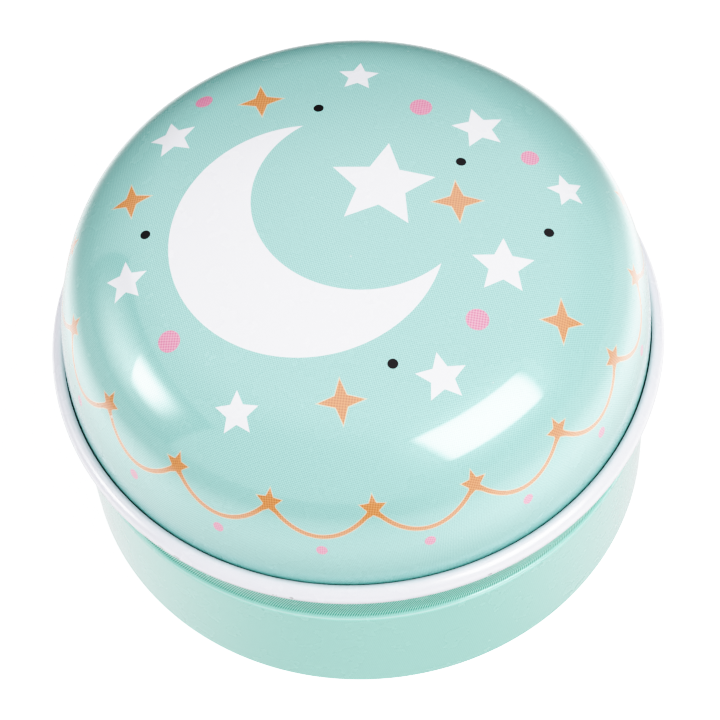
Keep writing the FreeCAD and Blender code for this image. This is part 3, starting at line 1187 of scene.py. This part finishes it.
@dataclass(frozen=True)
class Lid(Pressing):
    """The domed lid, its edge folded out and rolled up into the rim."""

    rim_radius: float = 0.0
    rim_foot: float = 0.0
    top: float = 0.0
    rim_overhang: float = 1.45 * MM
    rim_roll: float = 1.22 * MM
    rim_fold: float = 0.18 * MM
    rim_crevice: float = 0.025 * MM
    lip_bend: float = 0.6 * MM
    lip_start: float = math.radians(65)
    dome_lean: float = math.radians(16.7)
    dome_sweep: float = 30.0 * MM
    dome_knuckle: float = 12.0 * MM
    rim_rub: float = 0.5 * MM
    # How far the painted crevice shade reaches on the white lip and up the printed skirt.
    lip_shade_reach: float = 0.3 * MM
    skirt_shade_reach: float = 1.7 * MM

    @classmethod
    def from_frame(cls) -> "Lid":
        """Size a lid by its node in the frame.

        Returns:
            The lid.
        """
        low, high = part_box("lid_shell")
        return cls("printed_lid", "lid_shell", "lid", "lid_print", LID_PRINT, LINING,
                   rim_radius=high.x, rim_foot=low.z, top=high.z)

    @property
    def skirt(self) -> float:
        """Outer radius of the straight skirt under the dome."""
        return self.rim_radius - self.rim_overhang

    @property
    def roll_centre(self) -> Point:
        """Middle of the rolled rim."""
        return self.rim_radius - self.rim_roll, self.rim_foot + self.rim_roll

    def face(self, inset: float, fold_radius: float, roll_radius: float) -> list[Point]:
        """One face of the sheet, from the top of the dome to the rim's free edge.

        Args:
            inset: How far the face lies inside the dome's outer one.
            fold_radius: Radius of the fold under the rim, on this face.
            roll_radius: Radius of the rolled rim, on this face.

        Returns:
            The face's points.
        """
        across, height = self.roll_centre
        sweep_centre = (self.skirt - self.dome_sweep, height + self.rim_roll)
        knuckle_centre = polar(sweep_centre, self.dome_sweep - self.dome_knuckle, self.dome_lean)
        below = self.top - knuckle_centre[1]
        spread = knuckle_centre[0] ** 2 + below ** 2 - self.dome_knuckle ** 2
        crown = spread / (2 * (below - self.dome_knuckle))
        crown_angle = math.acos(knuckle_centre[0] / (crown - self.dome_knuckle))
        fold_across = self.skirt + self.rim_fold
        fold_reach = self.rim_roll - self.gauge - self.rim_fold
        fold_drop = math.sqrt(fold_reach ** 2 - (fold_across - across) ** 2)
        fold_end = math.atan2(-fold_drop, fold_across - across)
        tighter = self.rim_roll - self.lip_bend
        lip_centre = polar(self.roll_centre, tighter, self.lip_start)
        lip_end = math.acos((self.skirt + self.rim_crevice - lip_centre[0]) / self.lip_bend)
        lip_end -= self.gauge / 2 / (self.lip_bend - self.gauge / 2)
        side = self.skirt - inset
        return joined(
            arc((0.0, self.top - crown), crown - inset, math.pi / 2, crown_angle),
            arc(knuckle_centre, self.dome_knuckle - inset, crown_angle, self.dome_lean),
            arc(sweep_centre, self.dome_sweep - inset, self.dome_lean, 0.0),
            line((side, sweep_centre[1]), (side, height - fold_drop)),
            arc((fold_across, height - fold_drop), fold_radius, math.pi, fold_end + math.tau),
            arc(self.roll_centre, roll_radius, fold_end, self.lip_start),
            arc(lip_centre, roll_radius - tighter, self.lip_start, lip_end),
        )

    def build(self) -> Thing:
        """Spin the lid's sheet, rubbed round the rim and with painted shade in its crevice.

        Returns:
            The lid, undressed.
        """
        outside = self.face(0.0, self.rim_fold, self.rim_roll - self.gauge)
        inside = self.face(self.gauge, self.rim_fold + self.gauge, self.rim_roll)
        profile = Profile.of_sheet(outside, inside, loops=False)
        lip = inside[-1]
        rubbed = [Spot(self.rim_radius, self.roll_centre[1], self.rim_rub, Side.INSIDE)]
        # Painted shade from the crevice: a little way on the lip, further up the skirt.
        shade_spots = [Spot(*lip, self.lip_shade_reach, Side.INSIDE), Spot(*lip, self.skirt_shade_reach, Side.OUTSIDE)]
        return spin(self.name, profile, evenly(self.columns), on_blank, rubbed, shade_spots)


@dataclass(frozen=True)
class Wall(Pressing):
    """The rolled wall, with its folded foot, stepped neck, curled mouth and side seam."""

    radius: float = 0.0
    mouth_top: float = 0.0
    shoulder: float = 13.6 * MM
    neck_step: float = 0.5 * MM
    crest_bend: float = 0.25 * MM
    hollow_bend: float = 0.8 * MM
    mouth_roll: float = 0.65 * MM
    foot_bend: float = 0.08 * MM
    foot_rise: float = 2.0 * MM
    seam_fit: float = 0.05 * MM
    strip_width: float = 3.0 * MM
    strip_foot: float = 2.9 * MM
    strip_inset: float = 0.6 * MM
    seam_line: float = 0.22 * MM
    seam_depth: float = 0.08 * MM
    seam_bend: float = 0.05 * MM
    seam_angle: float = math.pi / 2
    foot_rub: float = 0.35 * MM
    crest_rub: float = 0.12 * MM

    @classmethod
    def from_frame(cls) -> "Wall":
        """Size a wall by its node in the frame.

        Returns:
            The wall.
        """
        _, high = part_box("body_wall")
        return cls("printed_wall", "body_wall", "tin", "wall_print", WALL_PRINT, LINING,
                   radius=high.x, mouth_top=high.z)

    def face(self, inset: float, floor: float, bends: Sequence[float]) -> list[Point]:
        """One face of the sheet, from the top of the foot's inner leg to the end of the mouth's curl.

        Args:
            inset: How far the face lies inside the outer one.
            floor: Height of the face where the tin stands.
            bends: The face's radii at the foot, the crest, the hollow and the mouth.

        Returns:
            The face's points.
        """
        foot, crest, hollow, mouth = bends
        inner_leg = self.radius - 3 * self.gauge - 2 * self.seam_fit
        leg, side = inner_leg + inset, self.radius - inset
        neck = self.radius - self.neck_step
        bend_height = self.foot_bend + self.gauge
        leg_centre, wall_centre = inner_leg + bend_height, self.radius - bend_height
        both_bends = self.crest_bend + self.gauge + self.hollow_bend
        turn = math.acos(1 - self.neck_step / both_bends)
        hollow_height = self.shoulder + both_bends * math.sin(turn)
        mouth_centre = (neck - self.mouth_roll, self.mouth_top - self.mouth_roll)
        three_quarters = 1.5 * math.pi
        curl_end = three_quarters - self.gauge / 2 / (self.mouth_roll - self.gauge / 2)
        return joined(
            line((leg, self.foot_rise - self.gauge / 2), (leg, bend_height)),
            arc((leg_centre, bend_height), foot, math.pi, three_quarters),
            line((leg_centre, floor), (wall_centre, floor)),
            arc((wall_centre, bend_height), foot, three_quarters, math.tau),
            line((side, bend_height), (side, self.shoulder)),
            arc((self.radius - self.crest_bend - self.gauge, self.shoulder), crest, 0.0, turn),
            arc((neck + self.hollow_bend, hollow_height), hollow, math.pi + turn, math.pi),
            line((neck - inset, hollow_height), (neck - inset, mouth_centre[1])),
            arc(mouth_centre, mouth, 0.0, curl_end),
        )

    def seam_columns(self) -> list[float]:
        """Angles of the mesh's columns, with some set close together at the seam's edges.

        Returns:
            The angles, starting and ending on the floor of the seam's line.
        """
        bend = self.seam_bend / self.radius
        widths = (self.seam_line, self.strip_width)
        line_edge, strip_edge = (width / 2 / self.radius for width in widths)
        middle = (line_edge + strip_edge) / 2
        close = [line_edge, line_edge + bend, middle, strip_edge, strip_edge + bend]
        start, span = close[-1], math.tau - 2 * close[-1]
        spread = [start + span * index / self.columns for index in range(1, self.columns)]
        turns = close + spread + [math.tau - turn for turn in reversed(close)]
        return [self.seam_angle + turn for turn in turns]

    def seam_shift(self, point: Point, side: Side, angle: float) -> float:
        """How far a point moves in: into the seam's line outside, or on to its strip inside.

        Args:
            point: The point of the profile.
            side: The side of the sheet that it is on.
            angle: The angle that it is turned to.

        Returns:
            The length that it moves.
        """
        close = 1e-3 * MM
        across, up = point
        turn = abs((angle - self.seam_angle + math.pi) % math.tau - math.pi) * self.radius
        on_line = side is Side.OUTSIDE and abs(across - self.radius) < close
        on_side = self.foot_bend + self.gauge < up < self.shoulder - close
        if on_line and on_side and turn < self.seam_line / 2 + close:
            return self.seam_depth
        on_bore = side is Side.INSIDE and abs(across - self.radius + self.gauge) < close
        on_strip = self.strip_foot < up < self.shoulder - self.strip_inset
        if on_bore and on_strip and turn < self.strip_width / 2 + close:
            return self.gauge
        return 0.0

    def on_strip(self, along: float, angle: float) -> Triple:
        """The place on the flat strip that the wall was rolled from."""
        return (angle - self.seam_angle) * self.radius, along, 0.0

    def build(self) -> Thing:
        """Spin the wall's sheet, with its seam pressed in and its foot and crest rubbed.

        Returns:
            The wall, undressed.
        """
        gauge, foot = self.gauge, self.foot_bend
        outside_bends = (foot + gauge, self.crest_bend + gauge, self.hollow_bend, self.mouth_roll)
        inside_bends = (foot, self.crest_bend, self.hollow_bend + gauge, self.mouth_roll - gauge)
        outside, inside = self.face(0.0, 0.0, outside_bends), self.face(gauge, gauge, inside_bends)
        profile = Profile.of_sheet(outside, inside, loops=True)
        rubbed = [Spot(self.radius, height, reach, Side.OUTSIDE)
                  for height, reach in ((0.0, self.foot_rub), (self.shoulder, self.crest_rub))]
        angles = self.seam_columns()
        return spin(self.name, profile, angles, self.on_strip, rubbed, shift=self.seam_shift)


@dataclass(frozen=True)
class Base(Pressing):
    """The pressed base, its edge turned down into the wall's folded foot."""

    edge_radius: float = 0.0
    edge_foot: float = 0.0
    ring_top: float = 0.0
    corner: float = 0.08 * MM
    ring_start: float = 25.85 * MM
    drop: float = 0.9 * MM
    bend: float = 0.8 * MM

    @classmethod
    def from_frame(cls) -> "Base":
        """Size a base by its node in the frame.

        Returns:
            The base.
        """
        low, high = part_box("base_disc")
        return cls("tinplate_base", "base_disc", "tin", "base_plate", PLATE, LINING,
                   edge_radius=high.x, edge_foot=low.z, ring_top=high.z)

    def face(self, inset: float, bends: Sequence[float]) -> list[Point]:
        """One face of the sheet, from the axis to the foot of its turned-down edge.

        Args:
            inset: How far the face lies above the underside.
            bends: The face's radii where it rises to the ring, levels out and turns down.

        Returns:
            The face's points.
        """
        rise, level, corner = bends
        underside = self.ring_top - self.gauge
        both_bends = 2 * self.bend + self.gauge
        turn = math.acos(1 - self.drop / both_bends)
        rise_start = self.ring_start - both_bends * math.sin(turn)
        middle = underside - self.drop
        rise_centre = (rise_start, middle + self.gauge + self.bend)
        corner_centre = (self.edge_radius - self.gauge - self.corner, underside - self.corner)
        edge = self.edge_radius - self.gauge + inset
        quarter, three_quarters = math.pi / 2, 1.5 * math.pi
        return joined(
            line((0.0, middle + inset), (rise_start, middle + inset)),
            arc(rise_centre, rise, three_quarters, three_quarters + turn),
            arc((self.ring_start, underside - self.bend), level, quarter + turn, quarter),
            line((self.ring_start, underside + inset), (corner_centre[0], underside + inset)),
            arc(corner_centre, corner, quarter, 0.0),
            line((edge, corner_centre[1]), (edge, self.edge_foot + self.gauge / 2)),
        )

    def build(self) -> Thing:
        """Spin the base's sheet.

        Returns:
            The base, undressed.
        """
        gauge, bend = self.gauge, self.bend
        outside = self.face(0.0, (bend + gauge, bend, self.corner))
        inside = self.face(gauge, (bend, bend + gauge, self.corner + gauge))
        profile = Profile.of_sheet(outside, inside, loops=False)
        return spin(self.name, profile, evenly(self.columns), on_blank)


# The studio


@dataclass(frozen=True)
class SoftBox:
    """A glowing card that lights the tin and shows in its gloss, placed round the tin in degrees."""

    name: str
    azimuth: float
    elevation: float
    width: float
    height: float
    strength: float
    feather: float
    casts: bool = True
    shows: bool = True
    distance: float = 400.0 * MM

    @property
    def half(self) -> Point:
        """Half of the card's width and half of its height."""
        turns = [math.radians(angle / 2) for angle in (self.width, self.height)]
        return self.distance * math.tan(turns[0]), self.distance * math.tan(turns[1])

    def build(self, aim: Vector) -> Thing:
        """Stand the card where it faces a point.

        Args:
            aim: The point that it faces.

        Returns:
            The card.
        """
        side, rise = math.radians(self.azimuth), math.radians(self.elevation)
        level = math.cos(rise)
        away = Vector((math.sin(side) * level, -math.cos(side) * level, math.sin(rise)))
        across, up = self.half
        corners = [(x * across, y * up, 0.0) for x, y in ((-1, -1), (1, -1), (1, 1), (-1, 1))]
        mesh = bpy.data.meshes.new(self.name)
        mesh.from_pydata(corners, [], [(0, 1, 2, 3)])
        mesh.materials.append(new_material(self.name, self.glow))
        card = put_in_scene(self.name, mesh)
        turn = away.to_track_quat("Z", "Y").to_matrix().to_4x4()
        card.matrix_world = Matrix.Translation(aim + away * self.distance) @ turn
        card.visible_camera = False
        card.visible_diffuse = self.casts
        card.visible_glossy = self.shows
        card.visible_shadow = False
        return card

    def glow(self, bench: NodeBench) -> Socket:
        """Wire light that fades towards the card's edges.

        Args:
            bench: The material's bench.

        Returns:
            The shader.
        """
        parts = bench.split(bench.where())
        shares = [bench.math("DIVIDE", bench.math("ABSOLUTE", parts[axis]), half)
                  for axis, half in zip("XY", self.half)]
        fades = [bench.ramp(share, 1.0, 1.0 - self.feather) for share in shares]
        level = bench.math("MULTIPLY", bench.math("MULTIPLY", *fades), self.strength)
        return bench.place("ShaderNodeEmission", {"Strength": level}).outputs["Emission"]


@dataclass(frozen=True)
class SkyGlow:
    """Light from all round that grows from dim to bright towards one side."""

    lean: Triple
    start: float
    end: float
    dim: float
    bright: float

    def level(self, bench: NodeBench, way: Socket) -> Socket:
        """Wire the light's strength in a direction."""
        facing = bench.vector("DOT_PRODUCT", way, self.lean)["Value"]
        return bench.ramp(facing, self.start, self.end, self.dim, self.bright)


ROUND_GLOW = SkyGlow(lean=(0.03, -0.9, 0.44), start=-0.7, end=-0.25, dim=0.1, bright=0.87)
OVERHEAD_GLOW = SkyGlow(lean=(0.2, 0.16, 0.97), start=0.55, end=1.0, dim=0.0, bright=0.73)
SIDE_LIGHT = SkyGlow(lean=(-0.26, -0.05, 0.96), start=-0.2, end=0.8, dim=0.45, bright=1.18)


@dataclass(frozen=True)
class Floor:
    """A pale light table that the tin stands on, clear from below.

    What the gloss shows of it depends on how far it is from the tin, and on its turn: the share of
    the way to the right, from -1 to 1.
    """

    radius: float = 1.5
    segments: int = 96
    drop: float = 0.02 * MM
    tone: Colour = shade(240, 240, 241)
    roughness: float = 0.9
    seen_glow: float = 1.6
    cast_glow: float = 1.3
    near_glow: Point = (0.72, 1.3)
    near_turn: Point = (0.25, 0.95)
    ring: Point = (42.0 * MM, 64.0 * MM)
    ring_glow: Point = (1.75, 2.8)
    ring_turn: Point = (0.0, 0.8)
    flank_gain: Point = (1.0, 1.3)
    flank_turn: Point = (-0.7, -1.0)
    fade: Point = (60.0 * MM, 140.0 * MM)
    far_share: Point = (0.22, 0.55)
    far_turn: Point = (-0.1, 0.6)
    close: Point = (45.0 * MM, 105.0 * MM)

    def build(self) -> Thing:
        """Lay the floor.

        Returns:
            The floor.
        """
        mesh = bpy.data.meshes.new("floor")
        disc = bmesh.new()
        bmesh.ops.create_circle(disc, cap_ends=True, segments=self.segments, radius=self.radius)
        bmesh.ops.translate(disc, verts=disc.verts, vec=(0.0, 0.0, -self.drop))
        disc.to_mesh(mesh)
        disc.free()
        board = new_material("floor", self.surface)
        board.cycles.emission_sampling = "NONE"
        mesh.materials.append(board)
        floor = put_in_scene("floor", mesh)
        return floor

    def mirrored(self, bench: NodeBench) -> Socket:
        """Wire what the gloss shows of the floor, which is brightest a little way off the tin.

        Args:
            bench: The material's bench.

        Returns:
            The strength of its light.
        """
        where = bench.where()
        away, way = bench.length(where), bench.vector("NORMALIZE", where)["Vector"]
        turn = bench.split(way)["X"]
        near = bench.ramp(bench.math("ABSOLUTE", turn), *self.near_turn, *self.near_glow)
        flank = bench.ramp(turn, *self.flank_turn, *self.flank_gain)
        ring = bench.math("MULTIPLY", bench.ramp(turn, *self.ring_turn, *self.ring_glow), flank)
        risen = bench.ramp(away, *self.ring, near, ring)
        far = bench.ramp(turn, *self.far_turn, *self.far_share)
        fallen = bench.ramp(away, *self.fade, 1.0, far)
        horizon = bench.ramp(away, *self.close, ROUND_GLOW.bright, ROUND_GLOW.level(bench, way))
        return bench.math("MULTIPLY", bench.math("MULTIPLY", risen, fallen), horizon)

    def surface(self, bench: NodeBench) -> Socket:
        """Wire the pale board: what is seen of it, what it casts and what the gloss shows.

        Args:
            bench: The material's bench.

        Returns:
            The shader.
        """
        path = bench.place("ShaderNodeLightPath").outputs
        level = bench.between(path["Is Glossy Ray"], self.cast_glow, self.mirrored(bench))
        feeds = {"Color": self.tone, "Strength": level}
        glow = bench.place("ShaderNodeEmission", feeds).outputs["Emission"]
        feeds = {"Base Color": self.tone, "Roughness": self.roughness, "Specular IOR Level": 0.0,
                 "Emission Color": self.tone, "Emission Strength": self.seen_glow}
        table = bench.place("ShaderNodeBsdfPrincipled", feeds).outputs["BSDF"]
        board = bench.shaders(path["Is Camera Ray"], glow, table)
        below = bench.place("ShaderNodeNewGeometry").outputs["Backfacing"]
        return bench.shaders(below, board, bench.place("ShaderNodeBsdfTransparent").outputs["BSDF"])


@dataclass(frozen=True)
class Surroundings:
    """Soft light from all round: what it casts, what the gloss shows of it and what is seen of it."""

    tint: Colour = shade(252, 252, 255)
    seen_glow: float = 2.0

    def build(self) -> None:
        """Set the scene's world."""
        world = bpy.data.worlds.new("studio")
        bench = NodeBench.cleared(world)
        way = bench.where("Generated")
        path = bench.place("ShaderNodeLightPath").outputs
        mirrored = bench.math("ADD", ROUND_GLOW.level(bench, way), OVERHEAD_GLOW.level(bench, way))
        unseen = bench.between(path["Is Glossy Ray"], SIDE_LIGHT.level(bench, way), mirrored)
        level = bench.between(path["Is Camera Ray"], unseen, self.seen_glow)
        feeds = {"Color": self.tint, "Strength": level}
        glow = bench.place("ShaderNodeBackground", feeds).outputs["Background"]
        bench.place("ShaderNodeOutputWorld", {"Surface": glow})
        world.cycles.sampling_method = "NONE"
        bpy.context.scene.world = world


@dataclass(frozen=True)
class Eye:
    """The camera: where it stands round the rim, and how far the rim is off the picture's middle."""

    distance: float = 243.2 * MM
    elevation: float = math.radians(57.35)
    roll: float = math.radians(-5.12)
    rim_right: float = -0.327 * MM
    rim_down: float = -3.22 * MM
    lens: float = 120.0
    sensor: float = 36.0
    clip: Point = (0.01, 10.0)

    def build(self, rim: Vector) -> Thing:
        """Stand the camera and make it the scene's own.

        Args:
            rim: Middle of the lid's rim.

        Returns:
            The camera.
        """
        ahead = Vector((0.0, math.cos(self.elevation), -math.sin(self.elevation)))
        level_down = Vector((0.0, -math.sin(self.elevation), -math.cos(self.elevation)))
        level_right = Vector((1.0, 0.0, 0.0))
        right = level_right * math.cos(self.roll) - level_down * math.sin(self.roll)
        down = level_right * math.sin(self.roll) + level_down * math.cos(self.roll)
        place = rim - ahead * self.distance - right * self.rim_right - down * self.rim_down
        data = bpy.data.cameras.new("eye")
        data.lens, data.sensor_width, data.sensor_fit = self.lens, self.sensor, "HORIZONTAL"
        data.clip_start, data.clip_end = self.clip
        camera = put_in_scene("eye", data)
        turn = Matrix((right, -down, -ahead)).transposed().to_4x4()
        camera.matrix_world = Matrix.Translation(place) @ turn
        bpy.context.scene.camera = camera
        return camera


SOFT_BOXES = (
    SoftBox("right_front_box", 45.5, 37.5, 40.0, 34.0, strength=8.0, feather=0.25, casts=False),
    SoftBox("right_front_fill", 45.5, 37.5, 40.0, 34.0, strength=4.4, feather=0.2, shows=False),
    SoftBox("right_glow", 95.0, 14.0, 80.0, 60.0, strength=1.3, feather=1.0, shows=False),
    SoftBox("left_box", -86.5, 23.0, 36.0, 28.0, strength=9.0, feather=0.85, casts=False),
    SoftBox("left_halo", -94.0, 20.0, 60.0, 44.0, strength=2.2, feather=1.0, casts=False),
    SoftBox("left_glow", -90.0, 15.0, 84.0, 64.0, strength=2.3, feather=1.0, shows=False),
)


def develop() -> None:
    """Print the picture with deep shadows, and with lights that bend over softly below white."""
    brightest, combined = 2.0, 3
    toe = ((0.06, 0.014), (0.14, 0.075), (0.28, 0.265), (0.5, 0.5))
    shoulder = ((0.7, 0.67), (0.9, 0.805), (1.1, 0.9), (1.4, 0.965))
    view = bpy.context.scene.view_settings
    view.view_transform = "Standard"
    view.use_curve_mapping = True
    tones = view.curve_mapping
    tones.extend = "EXTRAPOLATED"
    tones.white_level = (brightest, brightest, brightest)
    for light, printed in toe + shoulder:
        tones.curves[combined].points.new(light / brightest, printed)
    tones.update()


def main() -> None:
    """Build the tin's pieces and its studio."""
    logging.basicConfig(level=logging.INFO, format="%(name)s: %(message)s")
    lid, wall, base = Lid.from_frame(), Wall.from_frame(), Base.from_frame()
    for pressing in (base, wall, lid):
        piece = pressing.build()
        pressing.dress(piece)
        log.info("%s: %d faces, rides on %s", piece.name, len(piece.data.polygons), pressing.body)
    rim = Vector((0.0, 0.0, lid.roll_centre[1]))
    Surroundings().build()
    for made in (Eye().build(rim), Floor().build(), *(box.build(rim) for box in SOFT_BOXES)):
        log.info("%s: stands in the studio", made.name)
    develop()


if __name__ == "__main__":
    main()
